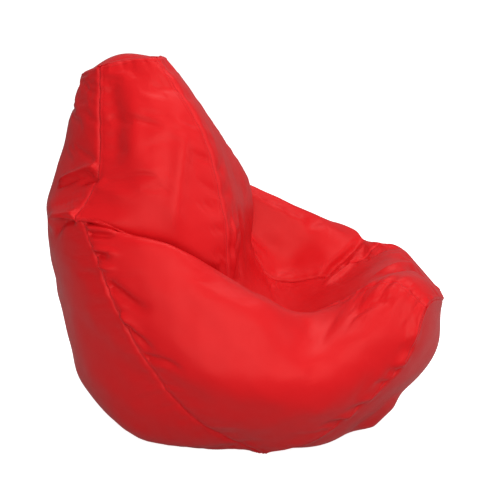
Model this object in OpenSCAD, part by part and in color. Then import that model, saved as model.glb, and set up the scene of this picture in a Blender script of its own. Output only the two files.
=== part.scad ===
// Pear-shaped bean bag chair: four fabric gores, a small top cap and a square base panel that
// is tipped up at the front, a slot zip in the base, an inner liner and a filling of beads.
// The sitter faces -Y, +Z is up and the floor is at z = 0.

/* [Bag] */
// Width of the settled bag from side to side
body_w = 825; // [740:5:900]
// Depth of the settled bag from front to back
body_d = 985; // [900:5:1060]
// Height of the settled bag to the top cap
body_h = 945; // [860:5:1020]

/* [Fabric] */
// Thickness of the coated cover fabric with its backing
cover_t = 1.2; // [0.8:0.1:1.6]
// Gap between the outside of the cover and the outside of the liner
liner_gap = 3.8; // [3.6:0.1:5]
// Thickness of the non-woven liner
liner_t = 0.5; // [0.4:0.1:0.8]
// Gap between the outside of the cover and the packed beads
fill_gap = 4.8; // [4.8:0.1:7]
// Distance of the topstitching from its seam
stitch_inset = 9; // [7:0.5:11]
// Thickness of the topstitching thread
thread_d = 0.8; // [0.6:0.1:1.2]
// How far the topstitching stands off the cover
thread_rise = 0.4; // [0.35:0.05:0.6]
// How far the square base panel bulges below its own seam
base_bulge = 80; // [66:2:88]
// How far the top cap is crowned
cap_bulge = 18; // [6:1:18]

/* [Zip] */
// Length of the slot that the zip is sewn behind
slot_l = 216; // [196:2:218]
// Width of the slot
slot_w = 13; // [12:0.5:15]
// Width of one coil of the zip
coil_w = 2.2; // [2:0.1:2.6]
// Distance that the slider travels
slider_travel = 186; // [160:2:188]
// Length of the pull tab from its pin
pull_l = 22; // [16:1:26]

/* [Hidden] */
$fn = 48;

cover_red = [0.80, 0.10, 0.11];
thread_red = [0.72, 0.07, 0.09];
zip_red = [0.68, 0.06, 0.08];
liner_white = [0.93, 0.93, 0.91];
bead_white = [0.98, 0.98, 0.97];

// The settled outline: eight lines run from the base seam to the cap seam, one along each seam
// and one along the middle of each gore. Each has ten stations. A point is
// [across, forward, up], and the outline is drawn for the size below and scaled to the bag.
outline_size = [825, 985, 945];
outline_shift = 1.4;
front_middle = [[0, 494, 325], [0, 476, 375], [0, 408, 412], [0, 320, 392], [0, 215, 335],
                [0, 85, 300], [0, 0, 390], [0, -12, 560], [0, -78, 745], [0, -200, 932]];
right_front_seam = [[-220, 429, 378], [-200, 378, 424], [-180, 325, 429], [-162, 272, 405], [-152, 215, 360],
                    [-160, 60, 310], [-182, -30, 420], [-176, -46, 575], [-132, -98, 770], [-70, -210, 943]];
right_middle = [[-285, 270, 150], [-364, 200, 195], [-400, 60, 275], [-325, 30, 420], [-262, 10, 428],
                [-226, -80, 400], [-242, -160, 560], [-215, -205, 690], [-158, -222, 808], [-75, -280, 938]];
right_back_seam = [[-230, 45, 6], [-322, -112, 140], [-340, -208, 268], [-310, -290, 389], [-270, -339, 488],
                   [-230, -378, 560], [-210, -394, 590], [-170, -347, 673], [-110, -346, 830], [-70, -346, 920]];
back_middle = [[0, 80, -2], [0, -280, 0], [0, -412, 110], [0, -460, 262], [0, -484, 400],
               [0, -491, 520], [0, -486, 590], [0, -450, 715], [0, -428, 815], [0, -397, 893]];
left_back_seam = [[232, 45, 6], [320, -120, 110], [345, -230, 250], [322, -320, 370], [284, -370, 470],
                  [244, -395, 550], [220, -400, 600], [172, -385, 690], [112, -372, 810], [68, -362, 888]];
left_middle = [[285, 270, 150], [364, 205, 200], [402, 90, 325], [335, 165, 440], [272, 140, 462],
               [222, 30, 385], [214, -95, 540], [200, -170, 690], [142, -220, 812], [75, -287, 915]];
left_front_seam = [[230, 440, 312], [218, 400, 385], [200, 340, 408], [176, 290, 368], [160, 215, 335],
                   [160, 70, 315], [174, 0, 420], [174, -12, 588], [120, -110, 770], [62, -214, 922]];
outline = [right_front_seam, right_middle, right_back_seam, back_middle,
           left_back_seam, left_middle, left_front_seam, front_middle];
line_count = len(outline);
last_station = len(front_middle) - 1;

// Places where the filling pushes the fabric out or a fold draws it in:
// [line, station, reach along the lines' order, reach in stations, [across, forward, up]].
pushes = [[1.5, 4.3, 0.4, 1, [-8, 0, 82]], [1.8, 5.1, 0.22, 0.6, [-10, 5, 25]],
          [2.5, 1, 0.35, 0.8, [-22, 0, -42]], [2.5, 2, 0.35, 0.7, [-8, -14, -24]],
          [3.5, 1, 0.35, 0.8, [22, 0, -42]], [3.5, 2, 0.35, 0.7, [8, -14, -24]],
          [4.5, 4.4, 0.4, 1, [4, 10, 105]], [5.5, 2.4, 0.35, 0.9, [10, 46, 22]],
          [0.5, 2.9, 0.33, 1, [-16, 0, -72]], [0.5, 0, 0.35, 0.6, [0, 26, -14]],
          [1.5, 0, 0.35, 0.6, [0, 14, -14]], [4.5, 0, 0.35, 0.6, [0, 14, -14]],
          [5.5, 0, 0.35, 0.6, [0, 20, -10]], [6.75, 1.25, 0.5, 0.6, [0, 0, -38]],
          [2.35, 0.45, 0.3, 0.5, [-4, 0, -16]], [6.4, 0.65, 0.4, 0.6, [0, 0, -24]]];

// Rows of the mesh up the bag, in stations, and columns across one gore, as fractions of it.
rows = [0, 0.1, 0.45, 0.8, 1.15, 1.5, 1.85, 2.2, 2.5, 2.8, 3.1, 3.4, 3.7, 4,
        4.3, 4.6, 4.9, 5.2, 5.5, 5.8, 6.2, 6.7, 7.2, 7.8, 8.4, 8.94, 9];
columns = [0, 0.02, 0.14, 0.26, 0.38, 0.5, 0.62, 0.74, 0.86, 0.98, 1];
top_row = len(rows) - 1;
cells = len(columns) - 1;
ring = 4 * cells;

// The zip lies on a flat strip of the base, on a plane that faces forward and down.
zip_forward = 345 * body_d / outline_size.y;
zip_up = 58 * body_h / outline_size.z;
zip_origin = [0, outline_shift - zip_forward, zip_up];
zip_tilt = 132;
zip_normal = [0, -sin(zip_tilt), cos(zip_tilt)];
strip_half_l = 166;
strip_half_w = 54;
strip_fade = 55;
tape_t = 0.6;
tape_gap = 0.05;
tape_w = 14;
coil_gap = 1.2;
coil_t = 1.6;
slider_l = 11;
slider_w = 8.6;
plate_t = 0.9;
play = 0.25;
post_w = 0.8;
pin_r = 0.7;
pin_play = 0.06;
pin_lift = 2.1;
ear_gap = 3.4;
ear_t = 0.9;
pull_w = 6;
pull_t = 1.2;

// Catmull-Rom curve through b and c.
function spline(a, b, c, d, t) =
    (2 * b + (c - a) * t + (2 * a - 5 * b + 4 * c - d) * t * t + (3 * b - a - 3 * c + d) * t * t * t) / 2;
function station_point(line, i) =
    i < 0 ? 2 * line[0] - line[1] :
    i > last_station ? 2 * line[last_station] - line[last_station - 1] : line[i];
function along(line, u) =
    let (i = min(floor(u), last_station - 1))
    spline(station_point(line, i - 1), line[i], line[i + 1], station_point(line, i + 2), u - i);
function wrap(a) = min(abs(a), line_count - abs(a));
function gauss(a) = exp(-a * a);
function pushed(v, u) = [for (p = pushes) gauss(wrap(v - p[0]) / p[2]) * gauss((u - p[1]) / p[3]) * p[4]];
function total(list, i = 0) = i == len(list) - 1 ? list[i] : list[i] + total(list, i + 1);
function placed(p) =
    [p.x * body_w / outline_size.x,
     outline_shift - p.y * body_d / outline_size.y,
     max(0, p.z * body_h / outline_size.z)];

// One row of the wall: the outline at station u, with its first and last column in each gore
// kept at the stitching's distance from the seam.
function wall_row(u) =
    let (knots = [for (line = outline) along(line, u)])
    [for (gore = [0:3], c = [0:cells - 1])
        let (start = 2 * gore,
             speed_a = norm(knots[(start + 1) % 8] - knots[(start + 7) % 8]) / 2,
             speed_b = norm(knots[(start + 3) % 8] - knots[(start + 1) % 8]) / 2,
             v = start + (c == 1 ? stitch_inset / speed_a :
                          c == cells - 1 ? 2 - stitch_inset / speed_b : 2 * columns[c]),
             k = floor(v))
        placed(spline(knots[(k + 7) % 8], knots[k % 8], knots[(k + 1) % 8], knots[(k + 2) % 8], v - k)
               + total(pushed(v, u)))];

// A four-sided patch that fills one end of the wall. a counts from the right side to the left
// and b from the front to the back; edge_index gives an edge point's place on the ring.
function on_edge(a, b) = a == 0 || b == 0 || a == cells || b == cells;
function edge_index(a, b) =
    a == 0 ? b : b == cells ? cells + a : a == cells ? 3 * cells - b : (ring - a) % ring;
function patch_point(edge, a, b, bulge) =
    let (s = columns[a], t = columns[b],
         right = edge[edge_index(0, b)], left = edge[edge_index(cells, b)],
         front = edge[edge_index(a, 0)], back = edge[edge_index(a, cells)],
         rf = edge[edge_index(0, 0)], rb = edge[edge_index(0, cells)],
         lf = edge[edge_index(cells, 0)], lb = edge[edge_index(cells, cells)],
         way = cross(lf - rf, rb - rf),
         crown = (1 - pow(abs(2 * s - 1), 2.5)) * pow(4 * t * (1 - t), 1.25))
    (1 - s) * right + s * left + (1 - t) * front + t * back
    - (1 - s) * (1 - t) * rf - (1 - s) * t * rb - s * (1 - t) * lf - s * t * lb
    + bulge * crown * way / norm(way);

// 1 on the zip's flat strip, falling smoothly to 0 around it.
function fade(x) = let (c = max(0, min(1, x))) 1 - c * c * (3 - 2 * c);
function strip_weight(p) =
    let (d = p - zip_origin)
    fade((abs(d.x) - strip_half_l) / strip_fade)
    * fade((norm([d.y, d.z] - (d * zip_normal) * [zip_normal.y, zip_normal.z]) - strip_half_w) / strip_fade);
function flattened(p) = p - strip_weight(p) * ((p - zip_origin) * zip_normal) * zip_normal;
function floored(p) = [p.x, p.y, max(0, p.z)];

wall = [for (u = rows) wall_row(u)];
base = [for (a = [0:cells]) [for (b = [0:cells])
    on_edge(a, b) ? wall[0][edge_index(a, b)] : floored(flattened(patch_point(wall[0], a, b, -base_bulge)))]];
cap = [for (a = [0:cells]) [for (b = [0:cells])
    on_edge(a, b) ? wall[top_row][edge_index(a, b)] : patch_point(wall[top_row], a, b, cap_bulge)]];

// Outward normals, from each point's neighbours. Below the first row and above the last one
// the neighbour is the patch's own first ring inside its edge.
function inside_edge(patch, j) =
    let (side = floor(j / cells), k = j % cells, near = max(1, min(cells - 1, k)),
         far = cells - near, deep = cells - 1)
    side == 0 ? patch[1][near] : side == 1 ? patch[near][deep] :
    side == 2 ? patch[deep][far] : patch[far][1];
function unit(v) = v / norm(v);
wall_normals = [for (i = [0:top_row]) [for (j = [0:ring - 1])
    let (below = i == 0 ? inside_edge(base, j) : wall[i - 1][j],
         above = i == top_row ? inside_edge(cap, j) : wall[i + 1][j])
    unit(cross(above - below, wall[i][(j + 1) % ring] - wall[i][(j + ring - 1) % ring]))]];
function patch_normals(patch, edge_normals, side) = [for (a = [0:cells]) [for (b = [0:cells])
    on_edge(a, b) ? edge_normals[edge_index(a, b)] :
    let (n = side * unit(cross(patch[a + 1][b] - patch[a - 1][b], patch[a][b + 1] - patch[a][b - 1])),
         w = side < 0 && strip_weight(patch[a][b]) > 0.999 ? 1 : 0)
    unit((1 - w) * n + w * zip_normal)]];
base_normals = patch_normals(base, wall_normals[0], -1);
cap_normals = patch_normals(cap, wall_normals[top_row], 1);

// Grids at a depth below the outside of the cover.
function sunk(grid, normals, depth) =
    [for (i = [0:len(grid) - 1]) [for (j = [0:len(grid[i]) - 1]) grid[i][j] - depth * normals[i][j]]];
function gore_grid(gore, depth) =
    let (deep = sunk(wall, wall_normals, depth))
    [for (row = deep) [for (c = [0:cells]) row[(gore * cells + c) % ring]]];
function flat_list(grid) = [for (row = grid) each row];

// A sheet with thickness between two grids of the same shape.
module sheet(outer, inner) {
    n_rows = len(outer);
    n_cols = len(outer[0]);
    count = n_rows * n_cols;
    function at(i, j, layer) = layer * count + i * n_cols + j;
    function quad(a, b, c, d) = [[a, b, c], [a, c, d]];
    faces = [
        for (i = [0:n_rows - 2], j = [0:n_cols - 2])
            each quad(at(i, j, 0), at(i, j + 1, 0), at(i + 1, j + 1, 0), at(i + 1, j, 0)),
        for (i = [0:n_rows - 2], j = [0:n_cols - 2])
            each quad(at(i, j, 1), at(i + 1, j, 1), at(i + 1, j + 1, 1), at(i, j + 1, 1)),
        for (j = [0:n_cols - 2])
            each quad(at(0, j, 0), at(0, j, 1), at(0, j + 1, 1), at(0, j + 1, 0)),
        for (j = [0:n_cols - 2])
            each quad(at(n_rows - 1, j, 0), at(n_rows - 1, j + 1, 0),
                      at(n_rows - 1, j + 1, 1), at(n_rows - 1, j, 1)),
        for (i = [0:n_rows - 2])
            each quad(at(i, 0, 0), at(i + 1, 0, 0), at(i + 1, 0, 1), at(i, 0, 1)),
        for (i = [0:n_rows - 2])
            each quad(at(i, n_cols - 1, 0), at(i, n_cols - 1, 1),
                      at(i + 1, n_cols - 1, 1), at(i + 1, n_cols - 1, 0))];
    polyhedron(points = concat(flat_list(outer), flat_list(inner)), faces = faces);
}

// The whole bag as one closed solid at a depth below the outside of the cover.
module whole_bag(depth) {
    inner_cells = cells - 1;
    wall_count = (top_row + 1) * ring;
    patch_count = inner_cells * inner_cells;
    function inner_points(grid) = [for (a = [1:inner_cells], b = [1:inner_cells]) grid[a][b]];
    function wall_at(i, j) = i * ring + j % ring;
    function patch_at(a, b, row, start) =
        on_edge(a, b) ? wall_at(row, edge_index(a, b)) : start + (a - 1) * inner_cells + b - 1;
    function quad(a, b, c, d) = [[a, b, c], [a, c, d]];
    points = concat(flat_list(sunk(wall, wall_normals, depth)),
                    inner_points(sunk(base, base_normals, depth)),
                    inner_points(sunk(cap, cap_normals, depth)));
    faces = [
        for (i = [0:top_row - 1], j = [0:ring - 1])
            each quad(wall_at(i, j), wall_at(i, j + 1), wall_at(i + 1, j + 1), wall_at(i + 1, j)),
        for (a = [0:cells - 1], b = [0:cells - 1])
            each quad(patch_at(a, b, 0, wall_count), patch_at(a + 1, b, 0, wall_count),
                      patch_at(a + 1, b + 1, 0, wall_count), patch_at(a, b + 1, 0, wall_count)),
        for (a = [0:cells - 1], b = [0:cells - 1])
            each quad(patch_at(a, b, top_row, wall_count + patch_count),
                      patch_at(a, b + 1, top_row, wall_count + patch_count),
                      patch_at(a + 1, b + 1, top_row, wall_count + patch_count),
                      patch_at(a + 1, b, top_row, wall_count + patch_count))];
    polyhedron(points = points, faces = faces);
}

// A square-section thread that stands just off the cover along a list of its points.
module thread(path, normals, closed) {
    n = len(path);
    half = thread_d / 2;
    function way(i) =
        closed ? unit(path[(i + 1) % n] - path[(i + n - 1) % n]) :
        unit(path[min(i + 1, n - 1)] - path[max(i - 1, 0)]);
    function ring_points(i) =
        let (p = path[i] + thread_rise * normals[i],
             across = half * unit(cross(way(i), normals[i])),
             up = thread_d * normals[i])
        [p + across, p - across, p - across + up, p + across + up];
    function side(i, k) = let (m = (i + 1) % n, l = (k + 1) % 4)
        [[4 * i + k, 4 * m + k, 4 * m + l], [4 * i + k, 4 * m + l, 4 * i + l]];
    last = 4 * (n - 1);
    ends = closed ? [] : [[0, 1, 2], [0, 2, 3], [last, last + 2, last + 1], [last, last + 3, last + 2]];
    polyhedron(points = [for (i = [0:n - 1]) each ring_points(i)],
               faces = concat([for (i = [0:n - (closed ? 1 : 2)], k = [0:3]) each side(i, k)], ends));
}
// A seam's thread stops short of the threads round the base and the cap, and the base's thread
// stops where the base seam comes down to the floor.
thread_stop = 0.18;
function mixed(a, b, share) = a + share * (b - a);
function seam_list(grid, column) =
    [mixed(grid[1][column], grid[2][column], thread_stop),
     for (i = [2:top_row - 2]) grid[i][column],
     mixed(grid[top_row - 1][column], grid[top_row - 2][column], thread_stop)];
module seam_thread(column) {
    thread(seam_list(wall, column), seam_list(wall_normals, column), false);
}
base_thread_columns = [for (j = [2 * cells + 2:ring + cells - 2]) j % ring];
module base_thread() {
    thread([for (j = base_thread_columns) wall[1][j]],
           [for (j = base_thread_columns) wall_normals[1][j]], false);
}
module cap_thread() {
    thread(wall[top_row - 1], wall_normals[top_row - 1], true);
}

// A sheet with thickness that goes all the way round the bag.
module band(outer, inner) {
    n_rows = len(outer);
    count = n_rows * ring;
    function at(i, j, layer) = layer * count + i * ring + j % ring;
    function quad(a, b, c, d) = [[a, b, c], [a, c, d]];
    faces = [
        for (i = [0:n_rows - 2], j = [0:ring - 1])
            each quad(at(i, j, 0), at(i, j + 1, 0), at(i + 1, j + 1, 0), at(i + 1, j, 0)),
        for (i = [0:n_rows - 2], j = [0:ring - 1])
            each quad(at(i, j, 1), at(i + 1, j, 1), at(i + 1, j + 1, 1), at(i, j + 1, 1)),
        for (j = [0:ring - 1])
            each quad(at(0, j, 0), at(0, j, 1), at(0, j + 1, 1), at(0, j + 1, 0)),
        for (j = [0:ring - 1])
            each quad(at(n_rows - 1, j, 0), at(n_rows - 1, j + 1, 0),
                      at(n_rows - 1, j + 1, 1), at(n_rows - 1, j, 1))];
    polyhedron(points = concat(flat_list(outer), flat_list(inner)), faces = faces);
}

// The zip's own frame: x runs along it, z points out of the bag.
module at_zip() {
    translate(zip_origin) rotate([zip_tilt, 0, 0]) children();
}
module slot_cut() {
    at_zip() cube([slot_l, slot_w, 10 * cover_t], center = true);
}
module gore(i) {
    sheet(gore_grid(i, 0), gore_grid(i, cover_t));
}

module right_panel() { color(cover_red) gore(0); }
module back_panel() { color(cover_red) gore(1); }
module left_panel() { color(cover_red) gore(2); }
module front_panel() { color(cover_red) gore(3); }
module top_cap() { color(cover_red) sheet(cap, sunk(cap, cap_normals, cover_t)); }
module base_panel() {
    color(cover_red)
        difference() {
            sheet(sunk(base, base_normals, cover_t), base);
            slot_cut();
        }
}

module right_front_topstitch() { color(thread_red) seam_thread(1); }
module right_back_topstitch() { color(thread_red) seam_thread(cells - 1); }
module left_back_topstitch() { color(thread_red) seam_thread(2 * cells + 1); }
module left_front_topstitch() { color(thread_red) seam_thread(3 * cells - 1); }
module cap_topstitch() { color(thread_red) cap_thread(); }
module base_topstitch() { color(thread_red) base_thread(); }

// One half of the zip: side is 1 for the half towards local +y.
module zip_tape(side) {
    color(zip_red)
        at_zip()
            translate([-slot_l / 2 - 6,
                       side > 0 ? coil_gap / 2 : -coil_gap / 2 - tape_w,
                       -cover_t - tape_gap - tape_t])
                cube([slot_l + 12, tape_w, tape_t]);
}
module zip_coil(side) {
    color(zip_red)
        at_zip()
            translate([-slot_l / 2 + 4, side > 0 ? coil_gap / 2 : -coil_gap / 2 - coil_w, -cover_t])
                cube([slot_l - 8, coil_w, coil_t]);
}
module zip_stop(end) {
    stop_l = 3;
    color("silver")
        at_zip()
            translate([end * (slot_l / 2 - 2.5) - stop_l / 2, -coil_w - coil_gap / 2, coil_t - cover_t])
                cube([stop_l, 2 * coil_w + coil_gap, 1]);
}
module zip_tape_upper() { zip_tape(-1); }
module zip_tape_lower() { zip_tape(1); }
module zip_coil_upper() { zip_coil(-1); }
module zip_coil_lower() { zip_coil(1); }
module zip_closed_stop() { zip_stop(1); }
module zip_open_stop() { zip_stop(-1); }

// The slider stands at the zip's closed end, on the sitter's left.
slider_x = slider_travel / 2;
top_plate = coil_t - cover_t + play;
low_plate = -cover_t - tape_gap - tape_t - play - plate_t;
pin_z = top_plate + plate_t + pin_lift;
module zip_slider() {
    skirt_t = (slider_w - 2 * coil_w - coil_gap) / 2 - play;
    color("silver")
        at_zip()
            translate([slider_x, 0, 0]) {
                translate([-slider_l / 2, -slider_w / 2, top_plate]) cube([slider_l, slider_w, plate_t]);
                translate([-slider_l / 2, -slider_w / 2, low_plate]) cube([slider_l, slider_w, plate_t]);
                translate([-slider_l / 2, -post_w / 2, low_plate])
                    cube([3, post_w, top_plate + plate_t - low_plate]);
                for (side = [-1, 1]) {
                    translate([-slider_l / 2, side * (slider_w - skirt_t) / 2 - skirt_t / 2, play - cover_t])
                        cube([slider_l, skirt_t, top_plate + plate_t + cover_t - play]);
                    translate([0, side * (ear_gap + ear_t) / 2, 0]) {
                        translate([-1.5, -ear_t / 2, top_plate]) cube([3, ear_t, pin_z - top_plate]);
                        translate([0, 0, pin_z]) rotate([90, 0, 0]) cylinder(r = 1.5, h = ear_t, center = true);
                    }
                }
                translate([0, 0, pin_z]) rotate([90, 0, 0]) cylinder(r = pin_r, h = ear_gap + ear_t, center = true);
            }
}
module zip_pull() {
    eye_r = 1.7;
    eye_w = ear_gap - 2 * play;
    color("silver")
        at_zip()
            translate([slider_x, 0, pin_z])
                difference() {
                    union() {
                        rotate([90, 0, 0]) cylinder(r = eye_r, h = eye_w, center = true);
                        translate([-pull_t / 2, -eye_w / 2, 1.2]) cube([pull_t, eye_w, 4]);
                        translate([0, 0, pull_l / 2 + 2])
                            rotate([0, 90, 0])
                                linear_extrude(pull_t, center = true)
                                    square([pull_l - 4, pull_w], center = true);
                    }
                    rotate([90, 0, 0]) cylinder(r = pin_r + pin_play, h = 2 * eye_w, center = true);
                }
}

liner_in = liner_gap + liner_t;
module liner_wall() {
    color(liner_white) band(sunk(wall, wall_normals, liner_gap), sunk(wall, wall_normals, liner_in));
}
module liner_base() {
    color(liner_white) sheet(sunk(base, base_normals, liner_in), sunk(base, base_normals, liner_gap));
}
module liner_cap() {
    color(liner_white) sheet(sunk(cap, cap_normals, liner_gap), sunk(cap, cap_normals, liner_in));
}
module bead_fill() { color(bead_white) whole_bag(fill_gap); }

right_panel();
left_panel();
front_panel();
back_panel();
top_cap();
base_panel();
right_front_topstitch();
right_back_topstitch();
left_front_topstitch();
left_back_topstitch();
cap_topstitch();
base_topstitch();
zip_tape_upper();
zip_tape_lower();
zip_coil_upper();
zip_coil_lower();
zip_closed_stop();
zip_open_stop();
zip_slider();
zip_pull();
liner_wall();
liner_base();
liner_cap();
bead_fill();
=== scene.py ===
# A pear-shaped bean bag chair, standing on a pale studio floor. Sizes are in metres at the end and
# in millimetres while the cover is being shaped. The sitter faces -Y.
import bpy
import bmesh
import math
import numpy as np
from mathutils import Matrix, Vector
from mathutils.bvhtree import BVHTree


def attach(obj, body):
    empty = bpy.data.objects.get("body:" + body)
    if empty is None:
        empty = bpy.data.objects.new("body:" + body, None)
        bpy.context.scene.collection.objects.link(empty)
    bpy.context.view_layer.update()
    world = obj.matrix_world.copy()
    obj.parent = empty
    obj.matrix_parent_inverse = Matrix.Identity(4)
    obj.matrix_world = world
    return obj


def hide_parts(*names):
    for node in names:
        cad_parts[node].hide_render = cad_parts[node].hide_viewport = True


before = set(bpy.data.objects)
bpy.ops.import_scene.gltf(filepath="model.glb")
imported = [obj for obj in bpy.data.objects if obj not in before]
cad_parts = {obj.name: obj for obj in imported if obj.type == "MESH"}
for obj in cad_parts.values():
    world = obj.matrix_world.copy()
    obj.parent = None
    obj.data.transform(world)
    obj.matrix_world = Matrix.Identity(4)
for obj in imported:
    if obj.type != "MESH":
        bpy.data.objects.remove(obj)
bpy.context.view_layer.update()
print("frame loaded")

# The bag's outline: eight lines of ten stations, [across, forward, up].
outline = {
    "rightFrontSeam": [
        [-220, 429, 378], [-200, 378, 424], [-180, 325, 429], [-162, 272, 405], [-152, 215, 360],
        [-160, 60, 310], [-182, -30, 420], [-176, -46, 575], [-132, -98, 770], [-70, -210, 943]],
    "rightMiddle": [
        [-285, 270, 150], [-364, 200, 195], [-400, 60, 275], [-325, 30, 420], [-262, 10, 428],
        [-226, -80, 400], [-242, -160, 560], [-215, -205, 690], [-158, -222, 808], [-75, -280, 938]],
    "rightBackSeam": [
        [-230, 45, 6], [-322, -112, 140], [-340, -208, 268], [-310, -290, 389], [-270, -339, 488],
        [-230, -378, 560], [-210, -394, 590], [-170, -347, 673], [-110, -346, 830], [-70, -346, 920]],
    "backMiddle": [
        [0, 80, -2], [0, -280, 0], [0, -412, 110], [0, -460, 262], [0, -484, 400], [0, -491, 520],
        [0, -486, 590], [0, -450, 715], [0, -428, 815], [0, -397, 893]],
    "leftBackSeam": [
        [232, 45, 6], [320, -120, 110], [345, -230, 250], [322, -320, 370], [284, -370, 470],
        [244, -395, 550], [220, -400, 600], [172, -385, 690], [112, -372, 810], [68, -362, 888]],
    "leftMiddle": [
        [285, 270, 150], [364, 205, 200], [402, 90, 325], [335, 165, 440], [272, 140, 462],
        [222, 30, 385], [214, -95, 540], [200, -170, 690], [142, -220, 812], [75, -287, 915]],
    "leftFrontSeam": [
        [230, 440, 312], [218, 400, 385], [200, 340, 408], [176, 290, 368], [160, 215, 335],
        [160, 70, 315], [174, 0, 420], [174, -12, 588], [120, -110, 770], [62, -214, 922]],
    "frontMiddle": [
        [0, 494, 325], [0, 476, 375], [0, 408, 412], [0, 320, 392], [0, 215, 335], [0, 85, 300],
        [0, 0, 390], [0, -12, 560], [0, -78, 745], [0, -200, 932]],
}
# Where the beads push the cloth out or a fold draws it in: line, station, reach, reach, push.
pushes = [(1.5, 4.3, 0.4, 1, (-8, 0, 82)), (1.8, 5.1, 0.22, 0.6, (-10, 5, 25)),
          (2.5, 1, 0.35, 0.8, (-22, 0, -42)), (2.5, 2, 0.35, 0.7, (-8, -14, -24)),
          (3.5, 1, 0.35, 0.8, (22, 0, -42)), (3.5, 2, 0.35, 0.7, (8, -14, -24)),
          (4.5, 4.4, 0.4, 1, (4, 10, 105)), (5.5, 2.4, 0.35, 0.9, (10, 46, 22)),
          (0.5, 2.9, 0.33, 1, (-16, 0, -72)), (0.5, 0, 0.35, 0.6, (0, 26, -14)),
          (1.5, 0, 0.35, 0.6, (0, 14, -14)), (4.5, 0, 0.35, 0.6, (0, 14, -14)),
          (5.5, 0, 0.35, 0.6, (0, 20, -10)), (6.75, 1.25, 0.5, 0.6, (0, 0, -38)),
          (2.35, 0.45, 0.3, 0.5, (-4, 0, -16)), (6.4, 0.65, 0.4, 0.6, (0, 0, -24))]
forwardShift = 1.4
lines = np.array(list(outline.values()), float)
linesPadded = np.concatenate([2 * lines[:, :1] - lines[:, 1:2], lines,
                              2 * lines[:, -1:] - lines[:, -2:-1]], 1)


def splineWeights(t):
    return np.stack([(-t + 2 * t**2 - t**3) / 2, (2 - 5 * t**2 + 3 * t**3) / 2,
                     (t + 4 * t**2 - 3 * t**3) / 2, (t**3 - t**2) / 2], -1)


def stationKnots(station):  # the eight outline lines at each station
    i = np.clip(np.floor(station).astype(int), 0, 8)
    w = splineWeights(station - i)
    return sum(w[None, :, k, None] * linesPadded[:, i + k] for k in range(4))


def coverPoint(turn, station):  # turn runs 0 to 8 round the bag, station 0 to 9 up it
    turn, station = np.asarray(turn, float), np.asarray(station, float)
    knots, k = stationKnots(station), np.floor(turn).astype(int)
    w, n = splineWeights(turn - k), np.arange(len(station))
    p = sum(w[:, a, None] * knots[(k + a - 1) % 8, n] for a in range(4))
    for pushTurn, pushStation, reachTurn, reachStation, way in pushes:
        d = np.abs(turn - pushTurn) % 8
        d = np.minimum(d, 8 - d)
        share = np.exp(-(d / reachTurn)**2 - ((station - pushStation) / reachStation)**2)
        p = p + share[:, None] * np.array(way, float)
    return np.stack([p[:, 0], forwardShift - p[:, 1], np.maximum(p[:, 2], 0)], -1)


def newObject(name, data):
    obj = bpy.data.objects.new(name, data)
    bpy.context.collection.objects.link(obj)
    return obj


def normalised(v):
    return v / np.maximum(np.linalg.norm(v, axis=-1), 1e-9)[..., None]


# The cover's grid.
cover = {
    "seamSteps": [0, 1.6, 3.2, 5, 7, 9, 11, 14, 18, 24],  # distances from a seam that get a column, in mm
    "middleColumns": 64, "middleRows": 196, "stationLength": 150.0,
    "thickness": 1.2, "stitchInset": 9.0, "baseBulge": 80.0, "capBulge": 18.0,
    "endFade": 12.0,
}
steps = np.array(cover["seamSteps"], float)
stitchColumn = list(steps).index(cover["stitchInset"])
cells = 2 * (len(steps) - 1) + cover["middleColumns"]
ring = 4 * cells


def gradedRows():
    near = steps / cover["stationLength"]
    middle = np.linspace(near[-1], 9 - near[-1], cover["middleRows"] + 1)
    return np.concatenate([near[:-1], middle, 9 - near[::-1][1:]])


rows = gradedRows()


def gradedTurns(station):  # the turns of one row, with the same distances from every seam
    knots = stationKnots(np.array([station]))[:, 0]
    out = []
    for gore in range(4):
        a, b = 2 * gore, 2 * gore + 2
        speedA = np.linalg.norm(knots[(a + 1) % 8] - knots[(a + 7) % 8]) / 2
        speedB = np.linalg.norm(knots[(b + 1) % 8] - knots[(b + 7) % 8]) / 2
        left, right = a + steps / speedA, b - steps[::-1] / speedB
        middle = np.linspace(left[-1], right[0], cover["middleColumns"] + 1)
        out += list(left[:-1]) + list(middle) + list(right[1:-1])
    return np.array(out)


turns = np.array([gradedTurns(r) for r in rows])
stations = np.repeat(rows[:, None], ring, 1)
wall = coverPoint(turns.ravel(), stations.ravel()).reshape(len(rows), ring, 3)
widthMean = np.linalg.norm(np.roll(wall[0], -1, 0) - wall[0], axis=1).sum() / 4
edgeShare = steps / widthMean
middleShare = np.linspace(edgeShare[-1], 1 - edgeShare[-1], cover["middleColumns"] + 1)
shares = np.concatenate([edgeShare[:-1], middleShare, 1 - edgeShare[::-1][1:]])

zipPlace = {
    "origin": (0, forwardShift - 345.0, 58.0), "tilt": math.radians(132),
    "halfLength": 130.0, "halfWidth": 28.0, "fade": 60.0, "slotLength": 216.0, "slotWidth": 13.0,
}
zipOrigin = np.array(zipPlace["origin"])
zipNormal = np.array([0, -math.sin(zipPlace["tilt"]), math.cos(zipPlace["tilt"])])
zipAcross = np.array([0, math.cos(zipPlace["tilt"]), math.sin(zipPlace["tilt"])])


def smoothDown(x):
    c = np.clip(x, 0, 1)
    return 1 - c * c * (3 - 2 * c)


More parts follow.
